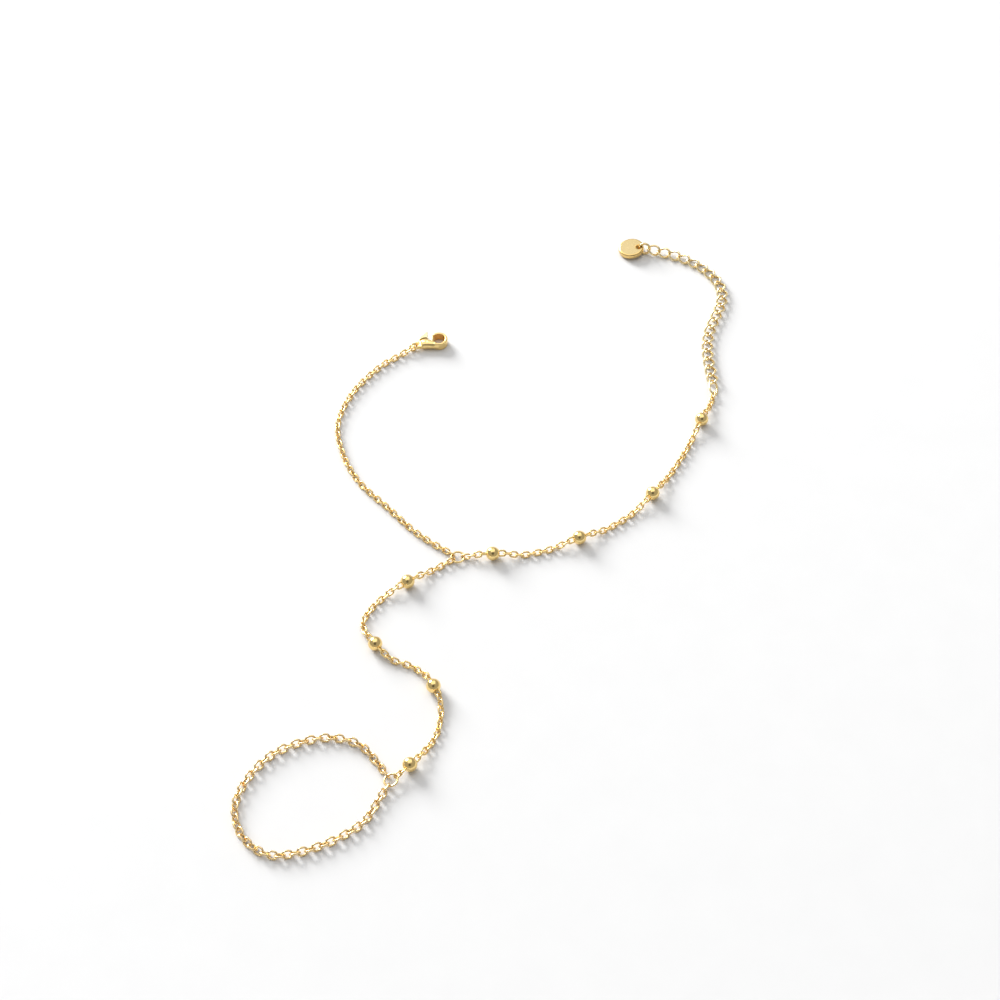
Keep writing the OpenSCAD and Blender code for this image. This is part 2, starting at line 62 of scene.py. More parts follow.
# Tag: diameter, thickness and the radius of its rim's edge, then the hole, the metal between the hole and
# the rim, and the radius of the hole's lip
TAG_D, TAG_T, TAG_RIM = 6.1, 1.3, 0.42
TAG_HOLE_D, TAG_WEB, TAG_LIP = 1.5, 0.4, 0.1

# Clasp, in its own plan: the eye at the origin, the hook along +X, the lever on the +Y side
CLASP_T, CLASP_EYE_AT, CLASP_TURN = 2.0, (-20.4, 48.7), math.radians(13)
EYE_D, EYE_T, EYE_HOLE_D = 1.9, 0.8, 1.1
HOOK_AT, HOOK_MID_R, HOOK_BAND, HOOK_EDGE = (5.4, 0.3), 1.675, 0.65, 0.28
HOOK_START, HOOK_END, HOOK_BEHIND = math.radians(228), math.radians(492), math.radians(580)
PIVOT_AT, CHEEK_R, RIVET_D = (2.1, 0.15), 1.15, 0.7
NECK_AT, NECK_R = (4.8, -0.9), 0.8
HUB_R, GATE_R, LEVER_T, LEVER_GAP = 0.62, 0.25, 1.0, 0.1
GATE_LOW, GATE_TOP = math.radians(538), math.radians(504)
FIN_AT, FIN_R, FIN_T = (2.95, 2.75), 0.27, 1.8
HEEL_AT, HEEL_R = (1.15, 1.4), 0.2
LEVER_OPEN = math.radians(22)
# Radii of the clasp's fillets: where its bars meet, at its flat faces, at the hook's foot, at its holes and
# at its slot
JOINED, FACE_EDGE, HOOK_FOOT, HOLE_EDGE, SLOT_EDGE = 0.2, 0.3, 0.16, 0.12, 0.06


# Grids and meshes

def grid_faces(rows, columns, closed_rows=False, closed_columns=False):
    """Squares between neighbouring points of a grid of rows by columns, joined round where it is closed."""
    i = np.arange(rows if closed_rows else rows - 1)[:, None]
    j = np.arange(columns if closed_columns else columns - 1)[None, :]
    i2, j2 = (i + 1) % rows, (j + 1) % columns
    corners = np.broadcast_arrays(i * columns + j, i2 * columns + j, i2 * columns + j2, i * columns + j2)
    return np.stack(corners, axis=-1).reshape(-1, 4)


def piece(name, points, faces, material, body, stands_for, **shades):
    """A smooth mesh of points in millimetres and faces of four corners, the last of which is -1 on a
    triangle. It rides on a body and stands for CAD nodes. Each shade is a number for every point, for the
    finish to use."""
    mesh = bpy.data.meshes.new(name)
    corners = faces[faces >= 0]
    sides = (faces >= 0).sum(axis=1)
    mesh.vertices.add(len(points))
    mesh.vertices.foreach_set("co", (points * MM).astype(np.float32).ravel())
    mesh.loops.add(len(corners))
    mesh.loops.foreach_set("vertex_index", corners.astype(np.int32))
    mesh.polygons.add(len(faces))
    mesh.polygons.foreach_set("loop_start", (np.cumsum(sides) - sides).astype(np.int32))
    mesh.polygons.foreach_set("use_smooth", np.ones(len(faces), bool))
    mesh.update(calc_edges=True)
    mesh.validate()
    for shade, values in shades.items():
        made = mesh.attributes.new(shade, "FLOAT", "POINT")
        made.data.foreach_set("value", values.astype(np.float32))
    mesh.materials.append(material)
    obj = bpy.data.objects.new(name, mesh)
    bpy.context.scene.collection.objects.link(obj)
    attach(obj, body)
    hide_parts(*stands_for)
    return obj


def together(shapes):
    """Several (points, faces, painted light) as one."""
    starts = np.cumsum([0] + [len(shape[0]) for shape in shapes[:-1]])
    numbered = [np.where(shape[1] < 0, -1, shape[1] + start) for shape, start in zip(shapes, starts)]
    return (np.concatenate([shape[0] for shape in shapes]), np.concatenate(numbered),
            np.concatenate([shape[2] for shape in shapes]))


# Where the solids lie

def loose_solids(node):
    """The triangles of each loose solid of a CAD node, as an array of corners in millimetres. Every corner
    takes the lowest number that any corner joined to it has, over and over, until each solid has one."""
    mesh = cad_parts[node].data
    co = np.empty(len(mesh.vertices) * 3, np.float32)
    mesh.vertices.foreach_get("co", co)
    corners = np.empty(len(mesh.loops), np.int32)
    mesh.loops.foreach_get("vertex_index", corners)
    places, same = np.unique(np.round(co.reshape(-1, 3) / MM, 4), axis=0, return_inverse=True)
    triangles = same.reshape(-1)[corners].reshape(-1, 3)
    label = np.arange(len(places))
    while True:
        lowest = label.copy()
        np.minimum.at(lowest, triangles.ravel(), np.repeat(label[triangles].min(axis=1), 3))
        lowest = lowest[lowest]
        if (lowest == label).all():
            break
        label = lowest
    owner = label[triangles[:, 0]]
    return [places[triangles[owner == o]] for o in np.unique(owner)]


def lie_of(triangles, keep=None):
    """Middle and axes of a solid, from its surface: the axes are the directions in which the surface
    spreads most, next and least, each triangle counted by its area. The rows of the result are those axes.
    With keep, only the triangles that it is true for count."""
    sides = triangles[:, 1:] - triangles[:, :1]
    area = np.linalg.norm(np.cross(sides[:, 0], sides[:, 1]), axis=1)
    if keep is not None:
        area = area * keep
    centres = triangles.mean(axis=1)
    middle = (centres * area[:, None]).sum(axis=0) / area.sum()
    off = centres - middle
    spread = (off * area[:, None]).T @ off
    axes = np.linalg.eigh(spread)[1].T[::-1]
    axes[2] = np.cross(axes[0], axes[1])
    return middle, axes


def laid(shape, lies):
    """Copies of a shape, each turned to a lie's axes and moved to its middle, and a tone for each copy,
    which wanders from copy to copy. A shape has painted light for each point too, mostly painted shade: 1
    where little light gets in and 0 where it lies open."""
    points, faces, recess = shape
    turned = np.concatenate([points @ axes + middle for middle, axes in lies])
    count = len(points)
    steps = np.arange(len(lies))
    numbered = np.where(faces < 0, -1, faces + count * steps[:, None, None]).reshape(-1, 4)
    tone = np.repeat(0.5 + 0.5 * np.sin(steps * 2.4 + 0.7 * np.sin(steps * 5.1)), count)
    return turned, numbered, np.tile(recess, len(lies)), tone


# Wire shapes

def wire_round(path, out, wire, sides):
    """Closed wire along a loop of points: at each point a circle, spanned by the direction out of the loop
    and the direction square to it and to the path. The side that faces into the loop gets painted shade."""
    along = np.roll(path, -1, axis=0) - np.roll(path, 1, axis=0)
    along /= np.linalg.norm(along, axis=1, keepdims=True)
    out = out - (out * along).sum(axis=1, keepdims=True) * along
    out /= np.linalg.norm(out, axis=1, keepdims=True)
    up = np.cross(along, out)
    turn = np.linspace(0, 2 * np.pi, sides, endpoint=False)
    ring = np.cos(turn)[None, :, None] * out[:, None] - np.sin(turn)[None, :, None] * up[:, None]
    points = (path[:, None] + (wire / 2 + FULLER) * ring).reshape(-1, 3)
    return points, grid_faces(len(path), sides, True, True), np.tile(0.5 - 0.5 * np.cos(turn), len(path))


def oval(length, width, wire, steps, sides):
    """Oval link in its own plane: half circles at both ends of the long side, joined by straight wire."""
    turn = np.linspace(-np.pi / 2, np.pi / 2, steps)
    half = np.stack([np.cos(turn), np.sin(turn), np.zeros(steps)], axis=1)
    bend, straight = (width - wire) / 2, (length - width) / 2
    path = np.concatenate([bend * half + [straight, 0, 0], -bend * half - [straight, 0, 0]])
    return wire_round(path, np.concatenate([half, -half]), wire, sides)


def ring(radius, wire, steps, sides):
    """Round ring of wire in the plane of the first two axes."""
    turn = np.linspace(0, 2 * np.pi, steps, endpoint=False)
    out = np.stack([np.cos(turn), np.sin(turn), np.zeros(steps)], axis=1)
    return wire_round(radius * out, out, wire, sides)


def curb(length, width, wire, steps, sides):
    """Twisted oval link: a flat oval whose plane turns about its long side, one way at one end and the
    other way at the other end."""
    u = np.linspace(0, 2 * np.pi, steps, endpoint=False)
    a, b = (length - wire) / 2, (width - wire) / 2
    turn = CURB_TWIST * np.cos(u)
    across = np.stack([np.zeros(steps), np.cos(turn), np.sin(turn)], axis=1)
    path = b * np.sin(u)[:, None] * across
    path[:, 0] = a * np.cos(u)
    return wire_round(path, path.copy(), wire, sides)


# Beads

def ball(radius, rows, columns):
    """Ball of revolution about the first axis, with rows between its two poles. Near each pole the skin
    sinks towards the wire: the reach from the middle falls by a bell curve of the angle from the pole."""
    angle = np.linspace(0, np.pi, rows + 2)
    turn = np.linspace(0, 2 * np.pi, columns, endpoint=False)
    from_pole = np.minimum(angle, np.pi - angle)
    reach = radius * (1 - BEAD_SINK * np.exp(-((from_pole / BEAD_SINK_ANGLE) ** 2)))
    x, r = reach * np.cos(angle), reach * np.sin(angle)
    rings = np.stack(np.broadcast_arrays(
        x[1:-1, None], r[1:-1, None] * np.cos(turn), r[1:-1, None] * np.sin(turn)), axis=-1).reshape(-1, 3)
    points = np.concatenate([rings, [[x[0], 0, 0], [x[-1], 0, 0]]])
    j = np.arange(columns)
    j2 = (j + 1) % columns
    last = (rows - 1) * columns
    none = np.full(columns, -1)
    cap = np.stack([np.full(columns, len(rings)), j, j2, none], axis=1)
    other_cap = np.stack([np.full(columns, len(rings) + 1), last + j2, last + j, none], axis=1)
    # Painted shade round each pole, where a link goes into the bead
    recess = np.exp(-((from_pole / BEAD_SHADE_ANGLE) ** 2))
    return (points, np.concatenate([grid_faces(rows, columns, False, True), cap, other_cap]),
            np.concatenate([np.repeat(recess[1:-1], columns), recess[[0, -1]]]))


def bead_lies(node):
    """Middle and axes of a bead's ball, and of the link at each side, from the spread of the surface that
    stands clear of the ball."""
    triangles = loose_solids(node)[0]
    middle, axes = lie_of(triangles)
    along = (triangles.mean(axis=1) - middle) @ axes[0]
    lies = []
    for side in (-1, 1):
        end, end_axes = lie_of(triangles, keep=side * along > BEAD_D / 2 + 0.1)
        wide = end_axes[np.argmax(np.abs(end_axes[:2] @ axes[0]) < 0.7)]
        wide = wide - (wide @ axes[0]) * axes[0]
        wide /= np.linalg.norm(wide)
        tip = (side * along).max()
        lies.append((middle + side * (tip - FINE_LINK[0] / 2) * axes[0],
                     np.array([axes[0], wide, np.cross(axes[0], wide)])))
    return middle, axes, lies


# Tag

def tag_shape(columns):
    """Disc with a hole near its rim, as one closed sheet: round the hole and the rim at the same time,
    across the top face from the hole to the rim, round the rim's edge, and back under it to the hole's
    wall. The hole's wall gets full painted light and the rim nearly as much, a painted warm reflection."""
    turn = np.linspace(0, 2 * np.pi, columns, endpoint=False)
    circle = np.stack([np.cos(turn), np.sin(turn)], axis=1)
    rim_r, hole_r, half = TAG_D / 2, TAG_HOLE_D / 2, TAG_T / 2
    hole_at = np.array([-(rim_r - TAG_WEB - hole_r), 0])
    lip = TAG_LIP
    bend = np.linspace(0, np.pi / 2, 5)
    across = (0.08, 0.3, 0.6, 0.9, 0.98)
    edge = np.linspace(-np.pi / 2, np.pi / 2, 15)
    rows = []
    for a in bend[::-1]:
        rows.append((hole_at + (hole_r + lip * (1 - np.cos(np.pi / 2 - a))) * circle,
                     half - lip + lip * np.sin(np.pi / 2 - a)))
    start, stop = hole_at + (hole_r + lip) * circle, (rim_r - TAG_RIM) * circle
    for share in across:
        rows.append((start + share * (stop - start), half))
    for a in edge[::-1]:
        rows.append(((rim_r - TAG_RIM + TAG_RIM * np.cos(a)) * circle, (half - TAG_RIM) * np.sign(a)
                     * min(1, abs(a) * 4) + TAG_RIM * np.sin(a)))
    for share in across[::-1]:
        rows.append((start + share * (stop - start), -half))
    for a in bend:
        rows.append((hole_at + (hole_r + lip * (1 - np.cos(np.pi / 2 - a))) * circle,
                     -(half - lip + lip * np.sin(np.pi / 2 - a))))
    points = np.concatenate([np.column_stack([flat, np.full(columns, z)]) for flat, z in rows])
    # Painted warm reflection: the hole's wall and the rim's edge are tinted towards the tag's orange
    wall, face, rim = [1.0] * len(bend), [0.0] * len(across), [0.8] * len(edge)
    recess = np.repeat(wall + face + rim + face + wall, columns)
    return points, grid_faces(len(rows), columns, True, True), recess


# Clasp, as distance fields

def blend_min(a, b, soft):
    """The lower of two distances, with a round fillet where they are about the same."""
    h = np.clip(0.5 + 0.5 * (b - a) / soft, 0, 1)
    return b + (a - b) * h - soft * h * (1 - h)


def blend_max(a, b, soft):
    """The higher of two distances, with a round fillet where they are about the same."""
    return -blend_min(-a, -b, soft)


def bar(x, y, z, a, ra, b, rb):
    """Distance to a bar whose radius goes evenly from ra at a to rb at b."""
    dx, dy = b[0] - a[0], b[1] - a[1]
    share = np.clip(((x - a[0]) * dx + (y - a[1]) * dy) / (dx * dx + dy * dy), 0, 1)
    reach = np.sqrt((x - a[0] - share * dx) ** 2 + (y - a[1] - share * dy) ** 2 + z ** 2)
    return reach - ra - (rb - ra) * share


def side_of(x, y, a, b):
    """Distance to the right of the line from a to b, negative on its left."""
    dx, dy = b[0] - a[0], b[1] - a[1]
    return ((x - a[0]) * dy - (y - a[1]) * dx) / math.hypot(dx, dy)


def plate(flat, z, thickness, edge):
    """A flat outline's distance given a thickness, with its edges rounded."""
    u, v = flat + edge, np.abs(z) - thickness / 2 + edge
    return np.minimum(np.maximum(u, v), 0) + np.hypot(np.maximum(u, 0), np.maximum(v, 0)) - edge


def round_hook(x, y):
    """Angle about the hook's middle, counted on from where the hook starts, and the distance from there."""
    angle = np.arctan2(y - HOOK_AT[1], x - HOOK_AT[0])
    return HOOK_START + np.mod(angle - HOOK_START, 2 * np.pi), np.hypot(x - HOOK_AT[0], y - HOOK_AT[1])


def on_hook(angle):
    """Place on the middle of the hook's band at an angle."""
    return HOOK_AT[0] + HOOK_MID_R * math.cos(angle), HOOK_AT[1] + HOOK_MID_R * math.sin(angle)


def clasp_body_field(x, y, z):
    """Tail eye, cheeks, neck and hook: bars melted together and flattened, less the holes and the slot for
    the lever, then the hook's band and the rivet."""
    solid = blend_min(bar(x, y, z, (0, 0), EYE_D / 2 + 0.02, PIVOT_AT, CHEEK_R + 0.02),
                      bar(x, y, z, PIVOT_AT, CHEEK_R + 0.02, NECK_AT, NECK_R), JOINED)
    rise = np.clip((x - 0.5 * EYE_D + 0.1) / 0.75, 0, 1)
    half = EYE_T / 2 + (CLASP_T - EYE_T) / 2 * rise * rise * (3 - 2 * rise)
    solid = blend_max(solid, np.abs(z) - half, FACE_EDGE)
    angle, from_hook = round_hook(x, y)
    solid = blend_max(solid, HOOK_MID_R - HOOK_BAND / 2 - from_hook, 0.1)
    solid = blend_max(solid, EYE_HOLE_D / 2 - np.hypot(x, y), HOLE_EDGE)
    arm = np.array(on_hook(GATE_LOW)) - PIVOT_AT
    c, s = math.cos(LEVER_OPEN), math.sin(LEVER_OPEN)
    low = (PIVOT_AT[0] + arm[0] * c + arm[1] * s, PIVOT_AT[1] + arm[1] * c - arm[0] * s)
    slot = np.minimum(bar(x, y, 0, PIVOT_AT, HUB_R + LEVER_GAP, FIN_AT, FIN_R + LEVER_GAP),
                      bar(x, y, 0, PIVOT_AT, HUB_R + LEVER_GAP, low, GATE_R + LEVER_GAP))
    slot = np.minimum(slot, np.maximum(side_of(x, y, FIN_AT, PIVOT_AT), side_of(x, y, PIVOT_AT, low)))
    slot = np.maximum(slot, np.abs(z) - LEVER_T / 2 - LEVER_GAP)
    solid = blend_max(solid, -slot, SLOT_EDGE)
    from_pivot = np.hypot(x - PIVOT_AT[0], y - PIVOT_AT[1])
    seam = np.hypot(from_pivot - RIVET_D / 2 - 0.05, np.abs(z) - CLASP_T / 2) - 0.07
    solid = blend_max(solid, -seam, 0.04)
    start = on_hook(HOOK_START)
    past = np.maximum((angle - HOOK_END + 0.17) * HOOK_MID_R, 0)
    band = np.where(angle > HOOK_BEHIND, np.hypot(x - start[0], y - start[1]),
                    np.hypot(np.abs(from_hook - HOOK_MID_R), past)) - HOOK_BAND / 2
    hook = plate(band, z, CLASP_T - 0.04, HOOK_EDGE)
    solid = blend_min(solid, hook, HOOK_FOOT)
    rivet = np.maximum(from_pivot - RIVET_D / 2, np.abs(z) - CLASP_T / 2 + 0.05)
    return np.minimum(solid, rivet)


def clasp_lever_field(x, y, z):
    """Hub, arm and gate of one thickness, and the thicker fin for the thumb, less the hole for the
    rivet."""
    angle, _ = round_hook(x, y)
    arm = bar(x, y, 0, PIVOT_AT, HUB_R, on_hook(GATE_LOW), GATE_R)
    stem = bar(x, y, 0, PIVOT_AT, HUB_R, FIN_AT, FIN_R)
    along = np.clip(angle, GATE_TOP, GATE_LOW)
    gate = np.hypot(x - HOOK_AT[0] - HOOK_MID_R * np.cos(along),
                    y - HOOK_AT[1] - HOOK_MID_R * np.sin(along)) - GATE_R
    flat = blend_min(blend_min(arm, gate, 0.12), stem, 0.25)
    solid = plate(flat, z, LEVER_T, 0.1)
    from_pivot = np.hypot(x - PIVOT_AT[0], y - PIVOT_AT[1])
    heel = bar(x, y, 0, HEEL_AT, HEEL_R, FIN_AT, FIN_R)
    between = np.maximum(side_of(x, y, PIVOT_AT, FIN_AT), side_of(x, y, HEEL_AT, PIVOT_AT))
    tab = blend_min(np.minimum(stem, heel), np.maximum(between, side_of(x, y, FIN_AT, HEEL_AT)), 0.05)
    fin = plate(blend_max(tab, CHEEK_R + LEVER_GAP - from_pivot, 0.15), z, FIN_T, 0.18)
    solid = blend_min(solid, fin, 0.08)
    return np.maximum(solid, RIVET_D / 2 + 0.07 - from_pivot)


def skin(field, low, high, step):
    """Surface on which a distance field is zero. A box of the grid that the surface crosses gets one point,
    the mean of the places where its edges are crossed, and every crossed edge gets the square between the
    points of the four boxes round it."""
    axes = [np.arange(a, b + step, step) for a, b in zip(low, high)]
    d = field(*np.meshgrid(*axes, indexing="ij"))
    inside = d < 0
    total = np.zeros((d.size, 3))
    hits = np.zeros(d.size)
    squares = []
    for axis in range(3):
        first = tuple(slice(None, -1) if k == axis else slice(None) for k in range(3))
        second = tuple(slice(1, None) if k == axis else slice(None) for k in range(3))
        at = np.argwhere(inside[first] != inside[second])
        after = at + np.eye(3, dtype=int)[axis]
        da, db = d[tuple(at.T)], d[tuple(after.T)]
        place = at.astype(float)
        place[:, axis] += da / (da - db)
        one, two = np.eye(3, dtype=int)[(axis + 1) % 3], np.eye(3, dtype=int)[(axis + 2) % 3]
        boxes = np.stack([np.ravel_multi_index((at - back).T, d.shape)
                          for back in (0 * one, one, one + two, two)], axis=1)
        for k in range(4):
            np.add.at(total, boxes[:, k], place)
            np.add.at(hits, boxes[:, k], 1)
        outward = (da < 0)[:, None]
        squares.append(np.where(outward, boxes, boxes[:, ::-1]))
    used = np.flatnonzero(hits)
    number = np.zeros(d.size, int)
    number[used] = np.arange(len(used))
    points = total[used] / hits[used][:, None] * step + np.array(low)
    return points, number[np.concatenate(squares)]


def at_clasp(points):
    """The clasp's own plan, turned and moved to where it lies."""
    c, s = math.cos(CLASP_TURN), math.sin(CLASP_TURN)
    return points @ np.array([[c, s, 0], [-s, c, 0], [0, 0, 1]]) + [*CLASP_EYE_AT, CLASP_T / 2]


# Finishes

class Wire:
    """A number on its way through the shader. Sums and products of it are Math nodes."""

    def __init__(self, finish, socket):
        self.finish, self.socket = finish, socket

    def _math(self, operation, *values):
        values = {i: v.socket if isinstance(v, Wire) else v for i, v in enumerate(values)}
        made = self.finish.node("ShaderNodeMath", {"operation": operation}, values)
        return Wire(self.finish, made.outputs[0])

    def __add__(self, other):
        return self._math("ADD", self, other)

    def __sub__(self, other):
        return self._math("SUBTRACT", self, other)

    def __rsub__(self, other):
        return self._math("SUBTRACT", other, self)

    def __mul__(self, other):
        return self._math("MULTIPLY", self, other)

    __radd__, __rmul__ = __add__, __mul__

    def stepped(self, low, high):
        """0 below low, 1 above high, and a straight rise between."""
        return self._math("MULTIPLY", 1 / (high - low), self._math("SUBTRACT", self, low)).clamped()

    def clamped(self):
        """Held between 0 and 1."""
        return self._math("MINIMUM", self._math("MAXIMUM", self, 0.0), 1.0)


class Nodes:
    """A node tree under construction."""

    def __init__(self, tree):
        self.tree = tree

    def node(self, kind, settings=None, inputs=None):
        """A new node with its settings, and its inputs as numbers or as links from sockets."""
        node = self.tree.nodes.new(kind)
        for key, value in (settings or {}).items():
            setattr(node, key, value)
        for key, value in (inputs or {}).items():
            if isinstance(value, bpy.types.NodeSocket):
                self.tree.links.new(value, node.inputs[key])
            else:
                node.inputs[key].default_value = value
        return node


class Finish(Nodes):
    """A material under construction."""

    def __init__(self, name):
        self.material = bpy.data.materials.new(name)
        self.material.use_nodes = True
        super().__init__(self.material.node_tree)
        self.shader = self.tree.nodes["Principled BSDF"]
        self.place = self.node("ShaderNodeTexCoord").outputs["Object"]

    def noise(self, size_mm, detail=3.0, stretch=(1, 1, 1)):
        """Cloudy pattern between 0 and 1, whose patches are about size_mm across."""
        where = self.node("ShaderNodeMapping", None, {"Vector": self.place, "Scale": stretch}).outputs[0]
        made = self.node("ShaderNodeTexNoise", None, {"Vector": where, "Scale": 1 / (size_mm * MM),
                                                      "Detail": detail, "Roughness": 0.55})
        return Wire(self, made.outputs["Fac"])

    def shade(self, name):
        """A number that the mesh holds for each point."""
        return Wire(self, self.node("ShaderNodeAttribute", {"attribute_name": name}).outputs["Fac"])

    def mix(self, share, one, two):
        """Colour that goes from one to two with share."""
        return self.node("ShaderNodeMix", {"data_type": "RGBA"},
                         {0: share.socket, 6: one, 7: two}).outputs[2]

    def feed(self, **links):
        """Links or sets inputs of the surface shader, named with _ for a space."""
        for key, value in links.items():
            target = self.shader.inputs[key.replace("_", " ")]
            if isinstance(value, Wire):
                value = value.socket
            if isinstance(value, bpy.types.NodeSocket):
                self.tree.links.new(value, target)
            else:
                target.default_value = value

    def relief(self, height, depth_mm):
        """Surface relief, whose height goes from 0 to depth_mm as the pattern goes from 0 to 1."""
        bump = self.node("ShaderNodeBump", None,
                         {"Height": height.socket, "Distance": depth_mm * MM, "Strength": 1.0})
        self.tree.links.new(bump.outputs[0], self.shader.inputs["Normal"])


def colour(r, g, b):
    """An opaque colour."""
    return (r, g, b, 1.0)


def polished_plate(name, bright, warm, worn, painted_shade_colour, roughness, scuffs=1.0):
    """Polished gold plate: two near shades in soft clouds, a warmer and duller film in places, a dark
    colour painted in as shade where the mesh's painted light is high, fine scuffs that roughen it, and a
    trace of unevenness from casting or drawing it."""
    f = Finish(name)
    clouds = f.noise(2.6)
    film = f.noise(0.9, 4.0).stepped(0.52, 0.75)
    scratch = f.noise(0.35, 5.0, (1.0, 0.22, 1.0)).stepped(0.55, 0.8)
    base = f.mix((clouds * 0.6 + f.shade("tone") * 0.4).clamped(), bright, warm)
    base = f.mix(film * 0.35, base, worn)
    # Painted shade: the dark colour is mixed in by the mesh's painted light
    f.feed(Base_Color=f.mix(f.shade("recess").stepped(0.35, 1.0) * 0.8, base, painted_shade_colour), Metallic=1.0)
    f.feed(Roughness=(film * 0.10 + scratch * (0.08 * scuffs) + roughness).clamped())
    f.relief(f.noise(0.55) * 0.7 + scratch * (0.3 * scuffs), 0.003)
    return f.material


def satin_plate(name, bright, warm, worn):
    """Satin gold plate: a fine brushed grain along one direction, a drifting shade, duller marks, and the
    worn colour painted in by the mesh's painted light, which on the tag is a painted warm reflection."""
    f = Finish(name)
    grain = f.noise(0.12, 4.0, (0.12, 1.0, 1.0))
    drift = f.noise(2.2)
    marks = f.noise(0.5, 5.0).stepped(0.6, 0.8)
    base = f.mix(marks * 0.25, f.mix(drift, bright, warm), worn)
    # Painted warm reflection: the worn colour is mixed in by the mesh's painted light
    f.feed(Base_Color=f.mix(f.shade("recess") * 0.8, base, worn), Metallic=1.0)
    f.feed(Roughness=(grain * 0.10 + marks * 0.06 + 0.2).clamped())
    f.relief(grain, 0.0006)
    return f.material


# Painted shade colours: in the hollows of wire and beads, and inside the hook
OLIVE_PAINTED_SHADE, RUSSET_PAINTED_SHADE = colour(0.74, 0.53, 0.21), colour(0.86, 0.46, 0.12)
fine_gold = polished_plate("fine_chain_gold", colour(1.0, 0.76, 0.36), colour(0.97, 0.68, 0.28),
                           colour(0.80, 0.58, 0.26), OLIVE_PAINTED_SHADE, 0.27)
bead_gold = polished_plate("bead_gold", colour(0.95, 0.75, 0.35), colour(0.91, 0.62, 0.22),
                           colour(0.74, 0.54, 0.21), OLIVE_PAINTED_SHADE, 0.14, 0.6)
ring_gold = polished_plate("jump_ring_gold", colour(1.0, 0.79, 0.40), colour(0.96, 0.70, 0.31),
                           colour(0.78, 0.57, 0.25), OLIVE_PAINTED_SHADE, 0.22)
extender_gold = polished_plate("extender_gold", colour(1.0, 0.84, 0.48), colour(0.97, 0.76, 0.39),
                               colour(0.84, 0.64, 0.31), OLIVE_PAINTED_SHADE, 0.3)
loop_gold = polished_plate("finger_loop_gold", colour(0.98, 0.77, 0.42), colour(0.94, 0.67, 0.34),
                           colour(0.74, 0.53, 0.26), OLIVE_PAINTED_SHADE, 0.24)
clasp_gold = polished_plate("clasp_gold", colour(1.0, 0.80, 0.38), colour(0.95, 0.68, 0.27),
                            colour(0.84, 0.60, 0.25), RUSSET_PAINTED_SHADE, 0.3)
lever_gold = polished_plate("lever_gold", colour(0.95, 0.84, 0.52), colour(0.92, 0.76, 0.42),
                            colour(0.74, 0.58, 0.28), OLIVE_PAINTED_SHADE, 0.24)
# The tag's third colour serves its duller marks and the painted warm reflection on its rim and hole's wall
tag_gold = satin_plate("tag_gold", colour(0.69, 0.55, 0.28), colour(0.65, 0.50, 0.24),
                       colour(0.90, 0.60, 0.20))


# Pieces

def plated(name, made, material, node, body=BODY):
    """The piece that stands for a CAD node, from its points, faces, painted light and tone."""
    points, faces, recess, tone = made
    return piece(name, points, faces, material, body, [node], recess=recess, tone=tone)


fine_link = oval(*FINE_LINK, steps=9, sides=8)
for node in ("plain_chain", "wrist_chain", "hand_chain"):
    made = laid(fine_link, [lie_of(solid) for solid in loose_solids(node)])
    plated(node + "_links", made, fine_gold, node)

made = laid(oval(*LOOP_LINK, steps=9, sides=8),
            [lie_of(solid) for solid in loose_solids("finger_loop")])
plated("finger_loop_links", made, loop_gold, "finger_loop")

made = laid(curb(*CURB_LINK, steps=32, sides=8),
            [lie_of(solid) for solid in loose_solids("extender_chain")])
plated("extender_links", made, extender_gold, "extender_chain")

made = laid(oval(*EXTENDER_RING, steps=19, sides=12), [lie_of(loose_solids("extender_ring")[0])])
plated("extender_oval", made, extender_gold, "extender_ring")

for node, wire in (("junction_ring", RING_WIRE), ("loop_ring", RING_WIRE), ("clasp_ring", CLASP_RING_WIRE),
                   ("tag_ring", TAG_RING_WIRE)):
    solid = loose_solids(node)[0]
    middle, axes = lie_of(solid)
    radius = np.linalg.norm(solid.reshape(-1, 3) - middle, axis=1).max() - wire / 2
    made = laid(ring(radius, wire, steps=40, sides=14), [(middle, axes)])
    plated(node + "_wire", made, ring_gold, node)

eye_link = oval(*FINE_LINK, steps=13, sides=10)
for node in [n for n in sorted(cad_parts) if "_bead_" in n]:
    middle, axes, ends = bead_lies(node)
    shapes = [laid(ball(BEAD_D / 2, rows=31, columns=40), [(middle, axes)])]
    points, faces, recess = together(shapes + [laid(eye_link, [end]) for end in ends])
    even_tone = np.full(len(points), 0.5)
    plated(node + "_ball", (points, faces, recess, even_tone), bead_gold, node)

# The tag's hole points to its ring, so its plan is laid along the line between the two
middle, axes = lie_of(loose_solids("tag")[0])
ring_middle = lie_of(loose_solids("tag_ring")[0])[0]
flat = axes[2] * np.sign(axes[2][2])
towards = middle - ring_middle
towards -= (towards @ flat) * flat
towards /= np.linalg.norm(towards)
corners = loose_solids("tag")[0].reshape(-1, 3)
far = ((corners - middle) @ towards).max()
height = (corners - middle) @ flat
middle = middle + (far - TAG_D / 2) * towards + (height.max() + height.min()) / 2 * flat
made = laid(tag_shape(columns=96), [(middle, np.array([towards, np.cross(flat, towards), flat]))])
plated("tag_disc", made, tag_gold, "tag")

points, faces = skin(clasp_body_field, low=(-1.17, -1.95, -1.15), high=(7.7, 2.55, 1.15), step=0.05)
from_hook = round_hook(points[:, 0], points[:, 1])[1]
# Painted shade: the inside of the hook is mixed towards russet, and the rest of the clasp takes the warm
# tone
recess = np.clip((HOOK_MID_R - 0.1 - from_hook) / 0.2, 0, 1)
made = (at_clasp(points), faces, recess, 1 - recess)
plated("clasp_body_shell", made, clasp_gold, "clasp_body")

points, faces = skin(clasp_lever_field, low=(0.8, -0.7, -1.05), high=(4.5, 3.3, 1.05), step=0.04)
bare = np.zeros(len(points))
made = (at_clasp(points), faces, bare, bare)
plated("clasp_lever_thumb", made, lever_gold, "clasp_lever", LEVER)


# Table, light and camera

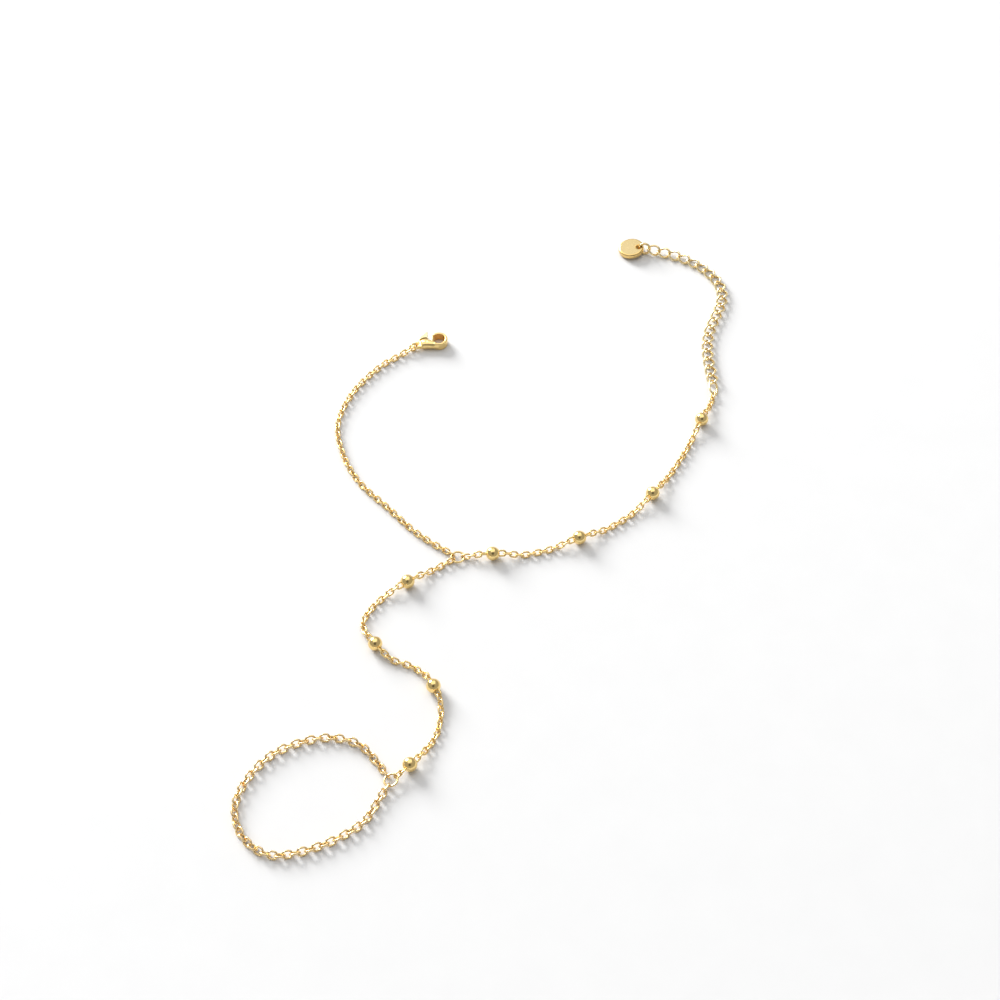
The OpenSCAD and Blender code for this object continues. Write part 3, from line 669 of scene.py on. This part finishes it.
def table(half):
    """White table top that curves up far behind the bracelet: flat, and past 0.6 of its half depth its
    height grows by the square of the way beyond."""
    depth = np.linspace(-half, half, 60)
    height = np.where(depth > 0.6 * half, (depth - 0.6 * half) ** 2 / half, 0)
    side = np.linspace(-half, half, 3)
    points = np.stack(np.broadcast_arrays(side[None, :], depth[:, None], height[:, None]), axis=-1)
    mesh = bpy.data.meshes.new("table_top")
    faces = grid_faces(len(depth), len(side))[:, ::-1]
    mesh.from_pydata(points.reshape(-1, 3).tolist(), [], faces.tolist())
    f = Finish("table_white")
    speck = f.noise(9.0, 4.0)
    f.feed(Base_Color=f.mix(speck, colour(0.79, 0.79, 0.79), colour(0.82, 0.82, 0.82)), Roughness=0.85)
    f.relief(speck, 0.02)
    mesh.materials.append(f.material)
    top = bpy.data.objects.new("table_top", mesh)
    bpy.context.scene.collection.objects.link(top)


def softbox(name, place, size, power):
    """Square lamp at a place, turned to shine on the origin."""
    lamp = bpy.data.lights.new(name, "AREA")
    lamp.shape, lamp.size, lamp.energy = "SQUARE", size, power
    obj = bpy.data.objects.new(name, lamp)
    obj.location = place
    obj.rotation_euler = (-Vector(place)).to_track_quat("-Z", "Y").to_euler()
    bpy.context.scene.collection.objects.link(obj)


table(3.0)
# The key light comes low from behind on the left, and a weak one from above fills in
softbox("light_key", place=(-2.55, 3.22, 1.68), size=1.85, power=305.0)
softbox("light_top", place=(-0.1, 0.5, 1.2), size=1.6, power=7.5)

# The room is evenly bright, but for a dim patch round the camera, which the round beads mirror
world = bpy.data.worlds.new("studio")
world.use_nodes = True
studio = Nodes(world.node_tree)
way = studio.node("ShaderNodeTexCoord").outputs["Generated"]
front = Wire(studio, studio.node("ShaderNodeVectorMath", {"operation": "DOT_PRODUCT"},
                                 {0: way, 1: (0.0, -0.61, 0.79)}).outputs["Value"])
lit = 0.43 - front.stepped(0.9, 0.98) * 0.34
world.node_tree.links.new(lit.socket, world.node_tree.nodes["Background"].inputs["Strength"])
world.node_tree.nodes["Background"].inputs["Color"].default_value = colour(1.0, 1.0, 1.0)
bpy.context.scene.world = world

# The camera looks down at 52 degrees from the front
camera = bpy.data.cameras.new("camera")
camera.sensor_width = 36
camera.lens = 70.3
camera.clip_start = 0.01
viewer = bpy.data.objects.new("camera", camera)
viewer.location = (-0.001, -0.25904, 0.3367)
viewer.rotation_euler = (math.radians(90 - 52), 0, 0)
bpy.context.scene.collection.objects.link(viewer)
bpy.context.scene.camera = viewer

bpy.context.scene.view_settings.view_transform = "Standard"
